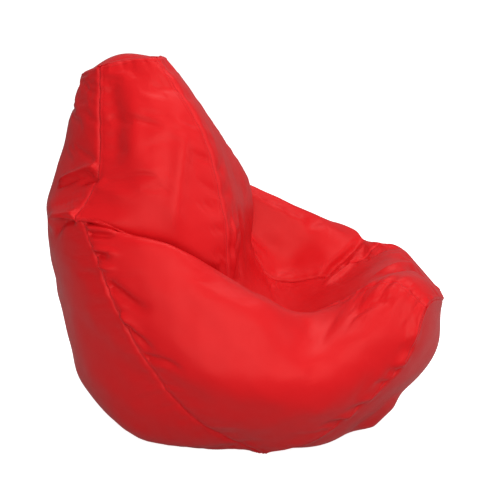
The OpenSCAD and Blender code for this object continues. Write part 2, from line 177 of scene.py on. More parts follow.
def patch(edge, bulge):  # a four-sided cloth panel that fills one end; a right to left, b front to back
    n = cells
    right, back = edge[:n + 1], edge[n:2 * n + 1]
    left, front = edge[2 * n:3 * n + 1][::-1], np.concatenate([edge[3 * n:], edge[:1]])[::-1]
    s, t = shares[:, None, None], shares[None, :, None]
    rf, rb, lf, lb = right[0], right[-1], left[0], left[-1]
    way = np.cross(lf - rf, rb - rf)
    crown = (1 - np.abs(2 * s - 1)**2.5) * (4 * t * (1 - t))**1.25
    return ((1 - s) * right[None] + s * left[None] + (1 - t) * front[:, None] + t * back[:, None]
            - (1 - s) * (1 - t) * rf - (1 - s) * t * rb - s * (1 - t) * lf - s * t * lb
            + bulge * crown * way / np.linalg.norm(way))


def flattenedForZip(p):
    d = p - zipOrigin
    height = d @ zipNormal
    w = smoothDown((np.abs(d[..., 0]) - zipPlace["halfLength"]) / zipPlace["fade"]) \
        * smoothDown((np.abs(d @ zipAcross) - zipPlace["halfWidth"]) / zipPlace["fade"])
    p = p - (w * height)[..., None] * zipNormal
    p[..., 2] = np.maximum(p[..., 2], 0)
    return p, w


def runLengths(g, axis):  # distance over the cloth from the grid's first row or column
    run = np.cumsum(np.linalg.norm(np.diff(g, axis=axis), axis=2), axis)
    return np.concatenate([np.zeros_like(np.take(run, [0], axis)), run], axis)


def gridNormals(g, closed):
    up = np.gradient(g, axis=0)
    across = np.roll(g, -1, 1) - np.roll(g, 1, 1) if closed else np.gradient(g, axis=1)
    return normalised(np.cross(up, across))


wallNormal = gridNormals(wall, True)
print("cover grid", wall.shape)

# The cloth settles over the beads: a short simulation, seams and base held.
settle = {
    "step": 2, "pressure": 4.0, "slack": -0.02, "frames": 20, "limit": 9.0, "inset": 4.0, "held": 0.06,
    "tension": 12.0, "shear": 3.0, "bending": 0.08, "mass": 0.25, "quality": 6, "airDamping": 2.0,
    "floorHeight": 6.0,
}
# where the right arm tucks under the backrest
tuck = {"turn": 1.8, "station": 5.0, "turnReach": 0.4, "stationReach": 0.8}


def thinned(count, step):  # indices of a coarser grid that skips the close lines beside the seams
    edge = len(steps) - 1
    return np.unique(np.concatenate([[0], np.arange(edge, count - edge, step), [count - 1]]))


def settledMoves():  # how far each point of the wall moves, in mm
    rowPick = thinned(len(rows), settle["step"])
    perGore = thinned(cells + 1, settle["step"])[:-1]
    columnPick = np.concatenate([k * cells + perGore for k in range(4)])
    g = wall[rowPick][:, columnPick]
    n, m = g.shape[:2]
    ends = [np.mean(g[0], 0), np.mean(g[-1], 0)]
    quads = [(i * m + j, (i + 1) * m + j, (i + 1) * m + (j + 1) % m, i * m + (j + 1) % m)
             for i in range(n - 1) for j in range(m)]
    fans = [(n * m, j, (j + 1) % m) for j in range(m)]
    fans += [(n * m + 1, (n - 1) * m + (j + 1) % m, (n - 1) * m + j) for j in range(m)]
    mesh = bpy.data.meshes.new("settling")
    mesh.from_pydata((np.concatenate([g.reshape(-1, 3), ends]) / 1000).tolist(), [], quads + fans)
    obj = newObject("settling", mesh)
    held = obj.vertex_groups.new(name="held")
    seamLine = np.zeros((n, m), bool)
    seamLine[:, ::m // 4] = True
    seamLine[[0, -1]] = True
    fixed = (seamLine | (g[..., 2] < settle["floorHeight"])).ravel()
    held.add(np.nonzero(fixed)[0].tolist() + [n * m, n * m + 1], 1.0, "REPLACE")
    held.add(np.nonzero(~fixed)[0].tolist(), settle["held"], "REPLACE")
    cloth = obj.modifiers.new("cloth", "CLOTH")
    how = cloth.settings
    how.quality, how.mass, how.air_damping = settle["quality"], settle["mass"], settle["airDamping"]
    how.tension_stiffness = how.compression_stiffness = settle["tension"]
    how.shear_stiffness, how.bending_stiffness = settle["shear"], settle["bending"]
    how.use_pressure, how.uniform_pressure_force = True, settle["pressure"]
    how.shrink_min = settle["slack"]
    how.vertex_group_mass = "held"
    how.effector_weights.gravity = 0.0
    cloth.collision_settings.use_collision = False
    cloth.point_cache.frame_start, cloth.point_cache.frame_end = 1, settle["frames"]
    scene = bpy.context.scene
    for f in range(1, settle["frames"] + 1):
        scene.frame_set(f)
    moved = obj.evaluated_get(bpy.context.evaluated_depsgraph_get()).data
    flat = np.empty(len(moved.vertices) * 3)
    moved.vertices.foreach_get("co", flat)
    d = flat.reshape(-1, 3)[:n * m].reshape(n, m, 3) * 1000 - g
    scene.frame_set(1)
    bpy.data.objects.remove(obj)
    size = np.linalg.norm(d, axis=2)
    d *= (settle["limit"] * np.tanh(size / settle["limit"]) / np.maximum(size, 1e-6))[..., None]
    ringAt = np.concatenate([columnPick, [ring]])
    wide = np.stack([[np.interp(np.arange(ring), ringAt, np.append(row, row[0])) for row in d[..., k]]
                     for k in range(3)], -1)
    tall = np.stack([[np.interp(np.arange(len(rows)), rowPick, wide[:, j, k]) for j in range(ring)]
                     for k in range(3)], -1)
    return tall.transpose(1, 0, 2)


moves = settledMoves()
tuckArea = np.exp(-((turns - tuck["turn"]) / tuck["turnReach"])**2
                  - ((stations - tuck["station"]) / tuck["stationReach"])**2)[..., None]
moves = moves * (1 - tuckArea)
print("mean move outwards", round(float((moves * wallNormal).sum(2).mean()), 2), "mm")
print("cloth settled, largest move", round(float(np.abs(moves).max()), 1), "mm")

# Folds: [turn, station] paths pressed into the cloth or raised from it.
folds = []
creasing = {"width": 0.72, "height": 1.45}


def fold(path, width, height, ends, kind="soft", side=1):
    folds.append((path, width, height, kind, ends, side))


def crease(path, width, height, ends, kind="soft", side=1):  # a fold that is tighter and higher
    fold(path, creasing["width"] * width, creasing["height"] * height, ends, kind, side)


def wobble(p, size, seed, count=18):  # smooth lumps from a seeded sum of waves, about -1 to 1
    rng = np.random.default_rng(seed)
    total = np.zeros(p.shape[:-1])
    for _ in range(count):
        way = rng.normal(size=3)
        way *= 2 * math.pi / (size * rng.uniform(0.7, 1.5)) / np.linalg.norm(way)
        total += np.sin(p @ way + rng.uniform(0, 2 * math.pi))
    return total / math.sqrt(count)


def pathDistance(p, path):  # distance to the path, share of the way along it, and signed side distance
    seg = path[1:] - path[:-1]
    length = np.linalg.norm(seg, axis=1)
    start = np.concatenate([[0], np.cumsum(length)])
    best = np.full(len(p), 1e9)
    share, offset, way = np.zeros(len(p)), np.zeros((len(p), 3)), np.zeros((len(p), 3))
    for i in range(len(seg)):
        t = np.clip((p - path[i]) @ seg[i] / max(length[i]**2, 1e-9), 0, 1)
        o = p - path[i] - t[:, None] * seg[i]
        d = np.linalg.norm(o, axis=1)
        near = d < best
        best = np.where(near, d, best)
        share = np.where(near, (start[i] + t * length[i]) / start[-1], share)
        offset[near], way[near] = o[near], seg[i] / max(length[i], 1e-9)
    return best, share, offset, way


def smoothPath(path, count=14):
    path = np.array(path, float)
    t = np.linspace(0, len(path) - 1, count)
    padded = np.concatenate([2 * path[:1] - path[1:2], path, 2 * path[-1:] - path[-2:-1]])
    i = np.minimum(np.floor(t).astype(int), len(path) - 2)
    w = splineWeights(t - i)
    return sum(w[:, k, None] * padded[i + k] for k in range(4))


def foldHeight(p, normal, turn, station):
    total = np.zeros(p.shape[:-1])
    flatP, flatN = p.reshape(-1, 3), normal.reshape(-1, 3)
    flatTurn, flatStation, out = turn.ravel(), station.ravel(), total.ravel()
    for path, width, height, kind, ends, side in folds:
        line = smoothPath(path)
        lo, hi = line.min(0), line.max(0)
        reach = 3.2 * width / cover["stationLength"]
        middle = (lo[0] + hi[0]) / 2
        around = (flatTurn - middle + 4) % 8 - 4
        near = (np.abs(around) < (hi[0] - lo[0]) / 2 + reach + 0.1) \
            & (flatStation > lo[1] - reach) & (flatStation < hi[1] + reach)
        idx = np.nonzero(near)[0]
        if not len(idx):
            continue
        points = coverPoint(line[:, 0] % 8, np.clip(line[:, 1], 0, 9))
        d, share, offset, way = pathDistance(flatP[idx], points)
        taper = np.ones(len(idx))
        if ends[0] > 0:
            taper *= 1 - smoothDown(share / ends[0])
        if ends[1] > 0:
            taper *= 1 - smoothDown((1 - share) / ends[1])
        if kind == "soft":
            shape = np.exp(-(d / width)**2)
        else:  # a roll of cloth that lies beside a crease
            signed = np.sign((np.cross(way, flatN[idx]) * offset).sum(1)) * side * d
            shape = np.exp(-((signed - width) / width)**2) - 0.8 * np.exp(-(signed / (0.35 * width))**2)
        out[idx] += height * taper * shape
    return out.reshape(total.shape)


def seamPuckers(seamTurn, fromStation, toStation, side, count, seed, depth, reach):
    rng = np.random.default_rng(seed)
    for i in range(count):
        u = fromStation + (toStation - fromStation) * (i + rng.uniform(0.1, 0.9)) / count
        length = reach * rng.uniform(0.5, 1.3) / cover["stationLength"]
        lean = rng.uniform(-0.5, 0.5)
        path = [[seamTurn, u], [seamTurn + side * 0.45 * length, u + 0.4 * lean * length],
                [seamTurn + side * 1.0 * length, u + lean * length]]
        width = rng.uniform(5, 10)
        fold(path, width, depth * rng.uniform(0.4, 1.1) * rng.choice([-1, -1, 1]), (0, 0.8))


# folds of the back gore above the kink of its right seam
crease([[2.62, 6.3], [2.44, 6.62], [2.3, 6.83], [2.17, 6.98], [1.99, 7.12]], 15, 11, (0.3, 0.02), "roll", -1)
crease([[2.3, 6.7], [2.14, 6.9], [1.97, 6.98]], 9, -9, (0.6, 0.02))
crease([[2.6, 4.8], [2.35, 5.45], [2.17, 5.88], [1.98, 6.1]], 16, 8, (0.3, 0.1))
crease([[2.5, 4.6], [2.25, 5.1], [2.05, 5.3]], 13, -9, (0.4, 0.1))
# tucks where the right arm meets the backrest
crease([[1.97, 5.0], [1.88, 4.86], [1.78, 4.75], [1.68, 4.62]], 6, -9, (0.05, 0.25))
crease([[1.98, 4.82], [1.86, 4.66], [1.74, 4.5]], 8, 5, (0.1, 0.3))
crease([[1.99, 4.62], [1.87, 4.46], [1.76, 4.38]], 8, -7, (0.05, 0.4))
# puckers of the right panel down its back seam
crease([[1.99, 4.24], [1.91, 4.16], [1.85, 4.02], [1.84, 3.88]], 8, 6, (0.02, 0.3))
crease([[1.99, 4.1], [1.93, 4.02], [1.88, 3.92]], 9, -8, (0.02, 0.5))
crease([[1.99, 3.86], [1.93, 3.78], [1.86, 3.7]], 8, 6, (0.02, 0.5))
crease([[1.98, 3.5], [1.9, 3.28], [1.82, 3.05], [1.7, 2.9]], 17, -11, (0.05, 0.5))
crease([[1.98, 2.95], [1.93, 2.75], [1.87, 2.5]], 13, 6, (0.05, 0.5))
crease([[1.98, 2.75], [1.92, 2.5], [1.85, 2.25]], 12, -6, (0.05, 0.5))
crease([[1.98, 2.2], [1.8, 2.12], [1.65, 2.0]], 13, -6, (0.05, 0.5))
# facets of the backrest
fold([[1.72, 8.75], [1.7, 8.2], [1.68, 7.7], [1.7, 7.1]], 26, -9, (0.2, 0.25))
fold([[1.3, 8.5], [1.3, 7.7], [1.36, 7.0]], 24, 6, (0.3, 0.4))
fold([[0.4, 8.3], [0.53, 7.7], [0.7, 7.0], [0.95, 6.1], [1.1, 5.6]], 22, 8, (0.3, 0.3))
fold([[1.97, 6.9], [1.75, 6.75], [1.5, 6.62], [1.3, 6.5]], 18, 7, (0.02, 0.6))
# pleat beside the right front seam and the hollow behind it
crease([[7.74, 7.2], [7.82, 6.68], [7.84, 6.1]], 8, 6, (0.4, 0.2))
crease([[7.45, 7.2], [7.4, 6.6], [7.5, 6.0]], 22, -10, (0.3, 0.3))
crease([[6.5, 5.3], [6.7, 5.9], [6.85, 6.5]], 22, 9, (0.3, 0.4))
# the left arm and the seat
crease([[5.6, 2.7], [5.72, 3.2], [5.83, 3.8], [5.96, 4.08], [6.22, 4.3]], 13, -11, (0.3, 0.3))
crease([[5.85, 3.0], [6.05, 3.5], [6.2, 3.9], [6.46, 4.25]], 12, 8, (0.3, 0.3))
crease([[6.7, 1.6], [7.0, 2.1], [7.3, 2.6], [7.35, 3.3]], 16, 9, (0.3, 0.4))
crease([[6.85, 1.5], [7.2, 1.9], [7.55, 2.4], [7.65, 3.0]], 13, -7, (0.3, 0.4))
crease([[0.3, 2.3], [0.22, 1.9], [0.18, 1.4], [0.17, 0.9]], 11, -5, (0.3, 0.3))
# puckers along the base seam of the right panel
basePuckers = ((0.3, 7), (0.42, -7), (0.52, 6), (0.6, -8), (0.72, -7), (0.86, 5), (0.98, -5), (1.1, 6),
               (1.2, -6))
for turn, size in basePuckers:
    path = [[turn, 0.0], [turn + 0.02, 0.2], [turn + 0.07, 0.42]]
    fold(path, 9 + abs(size) / 2, size, (0.0, 0.75))

for seam in (0, 2, 4, 6):
    for side in (-1, 1):
        seamPuckers(seam, 0, 9, side, 26, 11 * seam + side + 3, 2.2, 50)


def ringPuckers(station, way, count, seed, depth, reach):
    rng = np.random.default_rng(seed)
    for i in range(count):
        turn = 8 * (i + rng.uniform(0.1, 0.9)) / count
        length = way * reach * rng.uniform(0.5, 1.3) / cover["stationLength"]
        fold([[turn, station], [turn + rng.uniform(-0.06, 0.06), station + length]], rng.uniform(5, 9),
             depth * rng.uniform(0.4, 1.1) * rng.choice([-1, -1, 1]), (0, 0.8))


ringPuckers(0, 1, 44, 51, 2.8, 45)
ringPuckers(9, -1, 22, 57, 2.2, 32)

seamGroove = {"depth": 2.6, "width": 3.2, "bandRise": 0.7, "bandWidth": 8.0, "bandEdge": 2.5,
              "stitchDip": 0.9, "dipWidth": 1.8}
lumps = {"calm": 40.0, "broad": 2.0, "broadSize": 190, "fine": 0.8, "fineSize": 70,
         "ends": 1.4, "endsSize": 120}


def seamShape(d, banded):  # the cloth turns in at a seam; a flat band runs beside it to the topstitching
    g = seamGroove
    rise = g["bandRise"] * smoothDown((d - g["bandWidth"]) / g["bandEdge"]) * banded
    dip = g["stitchDip"] * np.exp(-((d - cover["stitchInset"]) / g["dipWidth"])**2) * banded
    return rise - dip - g["depth"] * np.exp(-(d / g["width"])**2)


along = runLengths(wall, 0)
fromBase, fromCap = along, along[-1:] - along
acrossStep = np.linalg.norm(np.roll(wall, -1, 1) - wall, axis=2)
fromSeam, toSeam = np.zeros(wall.shape[:2]), np.zeros(wall.shape[:2])
for gore in range(4):
    part = acrossStep[:, gore * cells:(gore + 1) * cells]
    run = np.concatenate([np.zeros((len(rows), 1)), np.cumsum(part, 1)], 1)
    fromSeam[:, gore * cells:(gore + 1) * cells] = run[:, :-1]
    toSeam[:, gore * cells:(gore + 1) * cells] = (run[:, -1:] - run)[:, :-1]
sideGore = np.repeat(np.array([1.0, 0, 1, 0]), cells)[None]
seamDistance = np.minimum(np.minimum(fromSeam, toSeam), np.minimum(fromBase, fromCap))

lift = seamShape(np.minimum(fromSeam, toSeam), sideGore) + seamShape(fromBase, 1.0) + seamShape(fromCap, 1.0)
away = 1 - np.exp(-(seamDistance / lumps["calm"])**2)
lift = lift + foldHeight(wall, wallNormal, turns, stations)
lift = lift + away * (lumps["broad"] * wobble(wall, lumps["broadSize"], 4)
                      + lumps["fine"] * wobble(wall, lumps["fineSize"], 9))
moves = moves - (settle["inset"] * away)[..., None] * wallNormal
wallShaped = wall + lift[..., None] * wallNormal + moves
wallShaped[..., 2] = np.maximum(wallShaped[..., 2], 0)
print("folds", len(folds))

# Base and cap.

def edgeBlend(ringSmooth, ringShaped, bulge):  # the seam's own puckers die away inside the panel
    smooth, shaped = patch(ringSmooth, bulge), patch(ringShaped, bulge)
    n = cells + 1
    step = np.minimum(np.arange(n), np.arange(n)[::-1])
    reach = np.concatenate([steps, np.full(n, 99.0)])[step]
    w = np.exp(-(np.minimum(reach[:, None], reach[None]) / cover["endFade"])**2)[..., None]
    return smooth + w * (shaped - smooth)


baseFlat, stripWeight = flattenedForZip(edgeBlend(wall[0], wallShaped[0], -cover["baseBulge"]))
# the base sags beside the zip
belly = {"across": 190.0, "forward": -200.0, "drop": 20.0, "wide": 110.0, "long": 90.0, "edge": 35.0}
reach = np.minimum(shares, 1 - shares) * widthMean
inside = 1 - np.exp(-(np.minimum(reach[:, None], reach[None]) / belly["edge"])**2)
sag = np.exp(-((np.abs(baseFlat[..., 0]) - belly["across"]) / belly["wide"])**2
             - ((baseFlat[..., 1] - belly["forward"]) / belly["long"])**2) * inside * (1 - stripWeight)
baseFlat[..., 2] = np.maximum(baseFlat[..., 2] - belly["drop"] * sag, 0)
capFlat = edgeBlend(wall[-1], wallShaped[-1], cover["capBulge"])


def patchLift(g, keep):
    fromA, fromB = runLengths(g, 0), runLengths(g, 1)
    d = np.minimum(np.minimum(fromA, fromA[-1:] - fromA), np.minimum(fromB, fromB[:, -1:] - fromB))
    edge = np.zeros_like(d)
    edge[1:-1, 1:-1] = 1
    soft = (1 - np.exp(-(d / lumps["calm"])**2)) * lumps["ends"] * wobble(g, lumps["endsSize"], 21)
    near = -seamGroove["depth"] * (np.exp(-(d / seamGroove["width"])**2) - 1) - seamGroove["depth"]
    return edge * (near + soft * keep), d


def shapedPatch(g, side, keep):
    normal = side * gridNormals(g, False)
    amount, d = patchLift(g, keep)
    g = g + amount[..., None] * normal
    g[..., 2] = np.maximum(g[..., 2], 0)
    return g, d


baseShaped, baseDistance = shapedPatch(baseFlat, -1, 1 - stripWeight)
capShaped, capDistance = shapedPatch(capFlat, 1, np.ones(capFlat.shape[:2]))


# Meshes.
def arcUv(g):  # lengths along and across the cloth from its middle, in metres, so the weave keeps its size
    a, b, m = runLengths(g, 0), runLengths(g, 1), g.shape[1]
    middle = slice(m // 2, m // 2 + 1)
    return np.stack([b - b[:, middle], np.repeat(a[:, middle], m, 1)], -1) / 1000


def gridObject(name, g, distance, flip=False):
    n, m = g.shape[:2]
    i, j = np.meshgrid(np.arange(n - 1), np.arange(m - 1), indexing="ij")
    a, b, c, d = i * m + j, i * m + j + 1, (i + 1) * m + j + 1, (i + 1) * m + j
    quads = np.stack([a, b, c, d] if not flip else [a, d, c, b], -1).reshape(-1, 4)
    mesh = bpy.data.meshes.new(name)
    mesh.from_pydata((g.reshape(-1, 3) / 1000).tolist(), [], quads.tolist())
    uv = mesh.uv_layers.new(name="cloth")
    flat = arcUv(g).reshape(-1, 2)[quads.ravel()]
    uv.data.foreach_set("uv", flat.ravel())
    wear = mesh.attributes.new("seamDistance", "FLOAT", "POINT")
    wear.data.foreach_set("value", (distance.ravel() / 1000).astype(np.float32))
    mesh.polygons.foreach_set("use_smooth", np.ones(len(quads), bool))
    mesh.update()
    return newObject(name, mesh)


def thicken(obj, thickness):
    solid = obj.modifiers.new("thickness", "SOLIDIFY")
    solid.thickness, solid.offset = thickness / 1000, -1
    solid.use_even_offset = False
    return obj


def goreGrid(g, gore):
    columns = np.arange(gore * cells, (gore + 1) * cells + 1) % ring
    return g[:, columns]


def goreDistance(gore):
    d = goreGrid(seamDistance, gore).copy()
    d[:, -1] = 0
    return d


# Materials.
def newGroup(name, inputs, outputs):
    tree = bpy.data.node_groups.new(name, "ShaderNodeTree")
    for label, kind, value in inputs:
        socket = tree.interface.new_socket(name=label, in_out="INPUT", socket_type=kind)
        socket.default_value = value
    for label, kind in outputs:
        tree.interface.new_socket(name=label, in_out="OUTPUT", socket_type=kind)
    return tree, tree.nodes.new("NodeGroupInput"), tree.nodes.new("NodeGroupOutput")


def mathNode(tree, operation, a, b=None):
    node = tree.nodes.new("ShaderNodeMath")
    node.operation = operation
    for socket, value in zip(node.inputs, (a, b)):
        if value is None:
            continue
        if isinstance(value, (int, float)):
            socket.default_value = value
        else:
            tree.links.new(value, socket)
    return node.outputs[0]


def noiseNode(tree, vector, scale, detail):
    noise = tree.nodes.new("ShaderNodeTexNoise")
    noise.inputs["Scale"].default_value, noise.inputs["Detail"].default_value = scale, detail
    tree.links.new(vector, noise.inputs["Vector"])
    return noise.outputs["Fac"]


def mixColour(tree, factor, a, b):
    mix = tree.nodes.new("ShaderNodeMix")
    mix.data_type = "RGBA"
    for label, value in (("Factor", factor), ("A", a), ("B", b)):
        tree.links.new(value, mix.inputs[label])
    return mix.outputs["Result"]


def buildWeave():  # plain weave: warp and weft threads pass over each other in turn
    tree, given, out = newGroup("plainWeave", [
        ("Vector", "NodeSocketVector", (0, 0, 0)), ("Threads", "NodeSocketFloat", 1800.0)],
        [("Height", "NodeSocketFloat")])
    split = tree.nodes.new("ShaderNodeSeparateXYZ")
    tree.links.new(given.outputs["Vector"], split.inputs[0])
    waves = []
    for side in split.outputs[:2]:
        across = mathNode(tree, "MULTIPLY", side, given.outputs["Threads"])
        waves.append(mathNode(tree, "SINE", mathNode(tree, "MULTIPLY", across, math.pi)))
    sinX, sinY = waves
    over = mathNode(tree, "GREATER_THAN", mathNode(tree, "MULTIPLY", sinX, sinY), 0.0)
    warp, weft = mathNode(tree, "ABSOLUTE", sinX), mathNode(tree, "ABSOLUTE", sinY)
    under = mathNode(tree, "SUBTRACT", 1.0, over)
    warp, weft = mathNode(tree, "MULTIPLY", warp, over), mathNode(tree, "MULTIPLY", weft, under)
    height = mathNode(tree, "ADD", warp, weft)
    tree.links.new(height, out.inputs["Height"])
    return tree


def buildClothTone():  # uneven dye, rubbed seams and a soft change of gloss over the cloth
    tree, given, out = newGroup("clothTone", [
        ("Vector", "NodeSocketVector", (0, 0, 0)), ("Colour", "NodeSocketColor", (0.6, 0.01, 0.02, 1)),
        ("Deep Colour", "NodeSocketColor", (0.5, 0.01, 0.01, 1)),
        ("Rubbed Colour", "NodeSocketColor", (0.7, 0.03, 0.04, 1)),
        ("Seam Distance", "NodeSocketFloat", 1.0), ("Gloss Low", "NodeSocketFloat", 0.38),
        ("Gloss High", "NodeSocketFloat", 0.5)],
        [("Colour", "NodeSocketColor"), ("Roughness", "NodeSocketFloat")])
    patchy = noiseNode(tree, given.outputs["Vector"], 9.0, 4.0)
    fine = noiseNode(tree, given.outputs["Vector"], 60.0, 5.0)
    uneven = mathNode(tree, "MULTIPLY", patchy, 0.55)
    dye = mixColour(tree, uneven, given.outputs["Colour"], given.outputs["Deep Colour"])
    nearSeam = mathNode(tree, "MULTIPLY", given.outputs["Seam Distance"], 110.0)
    edge = mathNode(tree, "MAXIMUM", mathNode(tree, "SUBTRACT", 1.0, nearSeam), 0.0)
    worn = mixColour(tree, mathNode(tree, "MULTIPLY", edge, fine), dye, given.outputs["Rubbed Colour"])
    tree.links.new(worn, out.inputs["Colour"])
    span = mathNode(tree, "SUBTRACT", given.outputs["Gloss High"], given.outputs["Gloss Low"])
    change = mathNode(tree, "MULTIPLY", span, fine)
    gloss = mathNode(tree, "ADD", given.outputs["Gloss Low"], change)
    tree.links.new(gloss, out.inputs["Roughness"])
    return tree


weaveGroup = buildWeave()
toneGroup = buildClothTone()


def clothMaterial(name, look):
    mat = bpy.data.materials.new(name)
    mat.use_nodes = True
    tree = mat.node_tree
    shader = tree.nodes["Principled BSDF"]
    if look["uv"]:
        place = tree.nodes.new("ShaderNodeUVMap")
        place.uv_map = "cloth"
        where = place.outputs["UV"]
    else:
        place = tree.nodes.new("ShaderNodeTexCoord")
        where = place.outputs["Object"]
    solid = tree.nodes.new("ShaderNodeTexCoord")
    tone = tree.nodes.new("ShaderNodeGroup")
    tone.node_tree = toneGroup
    tree.links.new(solid.outputs["Object"], tone.inputs["Vector"])
    tone.inputs["Colour"].default_value = (*look["colour"], 1)
    tone.inputs["Deep Colour"].default_value = (*look["deep"], 1)
    tone.inputs["Rubbed Colour"].default_value = (*look["rubbed"], 1)
    tone.inputs["Gloss Low"].default_value, tone.inputs["Gloss High"].default_value = look["gloss"]
    distance = tree.nodes.new("ShaderNodeAttribute")
    distance.attribute_name = "seamDistance"
    if look["uv"]:
        tree.links.new(distance.outputs["Fac"], tone.inputs["Seam Distance"])
    tree.links.new(tone.outputs["Colour"], shader.inputs["Base Color"])
    tree.links.new(tone.outputs["Roughness"], shader.inputs["Roughness"])
    weave = tree.nodes.new("ShaderNodeGroup")
    weave.node_tree = weaveGroup
    weave.inputs["Threads"].default_value = look["threads"]
    tree.links.new(where, weave.inputs["Vector"])
    crinkle = noiseNode(tree, solid.outputs["Object"], look["crinkleScale"], 3.0)
    broad = tree.nodes.new("ShaderNodeBump")
    broad.inputs["Strength"].default_value, broad.inputs["Distance"].default_value = 1.0, look["crinkle"]
    tree.links.new(crinkle, broad.inputs["Height"])
    bump = tree.nodes.new("ShaderNodeBump")
    bump.inputs["Strength"].default_value = look["weaveStrength"]
    bump.inputs["Distance"].default_value = look["weaveDepth"]
    tree.links.new(weave.outputs["Height"], bump.inputs["Height"])
    tree.links.new(broad.outputs["Normal"], bump.inputs["Normal"])
    tree.links.new(bump.outputs["Normal"], shader.inputs["Normal"])
    shader.inputs["Sheen Weight"].default_value = look["sheen"]
    shader.inputs["Sheen Roughness"].default_value = 0.4
    shader.inputs["Sheen Tint"].default_value = (*look["sheenTint"], 1)
    shader.inputs["Specular IOR Level"].default_value = look["specular"]
    shader.inputs["Specular Tint"].default_value = (*look["shine"], 1)
    return mat


coverLook = {
    "uv": True, "colour": (0.64, 0.009, 0.012), "deep": (0.55, 0.005, 0.008), "rubbed": (0.7, 0.025, 0.03),
    "gloss": (0.34, 0.44), "threads": 1700.0, "crinkleScale": 14.0, "crinkle": 0.0012,
    "weaveStrength": 0.25, "weaveDepth": 0.00012, "sheen": 0.0, "sheenTint": (1.0, 0.6, 0.55),
    "specular": 0.34, "shine": (1.0, 0.34, 0.3),
}
threadLook = dict(coverLook, uv=False, colour=(0.58, 0.012, 0.018), deep=(0.5, 0.01, 0.012), threads=2600.0,
                  gloss=(0.3, 0.4), crinkle=0.0001, weaveDepth=0.0001)
tapeLook = dict(coverLook, uv=False, colour=(0.5, 0.008, 0.012), deep=(0.42, 0.006, 0.01), threads=1100.0,
                gloss=(0.5, 0.62), crinkle=0.0001, weaveStrength=0.5, weaveDepth=0.0003)
linerLook = dict(coverLook, uv=False, colour=(0.86, 0.86, 0.83), deep=(0.78, 0.78, 0.74),
                 rubbed=(0.9, 0.9, 0.88), threads=700.0, gloss=(0.7, 0.85), crinkleScale=40.0,
                 crinkle=0.001, sheen=0.05, sheenTint=(1, 1, 1), specular=0.3, shine=(1, 1, 1))
coverMat = clothMaterial("redCoverCloth", coverLook)
threadMat = clothMaterial("redThread", threadLook)
tapeMat = clothMaterial("zipTapeCloth", tapeLook)
linerMat = clothMaterial("linerFleece", linerLook)


def hardMaterial(name, colour, metal, rough, grain, grainDepth):
    mat = bpy.data.materials.new(name)
    mat.use_nodes = True
    tree = mat.node_tree
    shader = tree.nodes["Principled BSDF"]
    place = tree.nodes.new("ShaderNodeTexCoord")
    noise = noiseNode(tree, place.outputs["Object"], grain, 5.0)
    ramp = tree.nodes.new("ShaderNodeValToRGB")
    ramp.color_ramp.elements[0].color = (*[c * 0.8 for c in colour], 1)
    ramp.color_ramp.elements[1].color = (*colour, 1)
    tree.links.new(noise, ramp.inputs["Fac"])
    tree.links.new(ramp.outputs["Color"], shader.inputs["Base Color"])
    spread = tree.nodes.new("ShaderNodeMapRange")
    spread.inputs["To Min"].default_value, spread.inputs["To Max"].default_value = rough[0], rough[1]
    tree.links.new(noise, spread.inputs["Value"])
    tree.links.new(spread.outputs["Result"], shader.inputs["Roughness"])
    bump = tree.nodes.new("ShaderNodeBump")
    bump.inputs["Distance"].default_value, bump.inputs["Strength"].default_value = grainDepth, 0.5
    tree.links.new(noise, bump.inputs["Height"])
    tree.links.new(bump.outputs["Normal"], shader.inputs["Normal"])
    shader.inputs["Metallic"].default_value = metal
    return mat


metalMat = hardMaterial("zipMetal", (0.62, 0.62, 0.64), 1.0, (0.22, 0.38), 900.0, 0.00002)
coilMat = hardMaterial("zipCoilNylon", (0.48, 0.01, 0.016), 0.0, (0.3, 0.4), 600.0, 0.00001)
beadMat = hardMaterial("foamBeads", (0.9, 0.9, 0.89), 0.0, (0.5, 0.7), 700.0, 0.0002)
print("materials ready")

# Cover panels.
panelNames = {0: ("coverRight", "right_panel"), 1: ("coverBack", "back_panel"),
              2: ("coverLeft", "left_panel"), 3: ("coverFront", "front_panel")}
sheets = []
for gore, (name, node) in panelNames.items():
    g = goreGrid(wallShaped, gore)
    panel = thicken(gridObject(name, g, goreDistance(gore), flip=True), cover["thickness"])
    panel.data.materials.append(coverMat)
    sheets.append((panel, node, goreGrid(wall, gore)))


base = thicken(gridObject("coverBase", baseShaped, baseDistance, flip=False), cover["thickness"])
cap = thicken(gridObject("coverCap", capShaped, capDistance, flip=True), cover["thickness"])
for piece in (base, cap):
    piece.data.materials.append(coverMat)


def zipPoint(x, across, height):  # a point beside the zip, from its middle, in mm
    return np.array([x, 0, 0]) + zipOrigin + across * zipAcross + height * zipNormal


def cutSlot(piece):  # the opening that the zip is sewn behind
    x, y, z = zipPlace["slotLength"] / 2, zipPlace["slotWidth"] / 2, 5 * cover["thickness"]
    bm = bmesh.new()
    corner = {(i, j, k): bm.verts.new((zipPoint(i * x, j * y, k * z) / 1000).tolist())
              for i in (-1, 1) for j in (-1, 1) for k in (-1, 1)}
    bmesh.ops.convex_hull(bm, input=list(corner.values()))
    bmesh.ops.recalc_face_normals(bm, faces=bm.faces)
    mesh = bpy.data.meshes.new("slotCutter")
    bm.to_mesh(mesh)
    bm.free()
    mesh.materials.append(coverMat)
    cutter = newObject("slotCutter", mesh)
    cut = piece.modifiers.new("slot", "BOOLEAN")
    cut.operation, cut.solver, cut.object = "DIFFERENCE", "EXACT", cutter
    applied(piece)
    bpy.data.objects.remove(cutter)


def applied(obj):  # the object with its modifiers made part of its mesh
    graph = bpy.context.evaluated_depsgraph_get()
    mesh = bpy.data.meshes.new_from_object(obj.evaluated_get(graph))
    obj.modifiers.clear()
    old = obj.data
    obj.data = mesh
    bpy.data.meshes.remove(old)
    obj.data.name = obj.name
    return obj


cutSlot(base)
print("panels made, base faces", len(base.data.polygons))


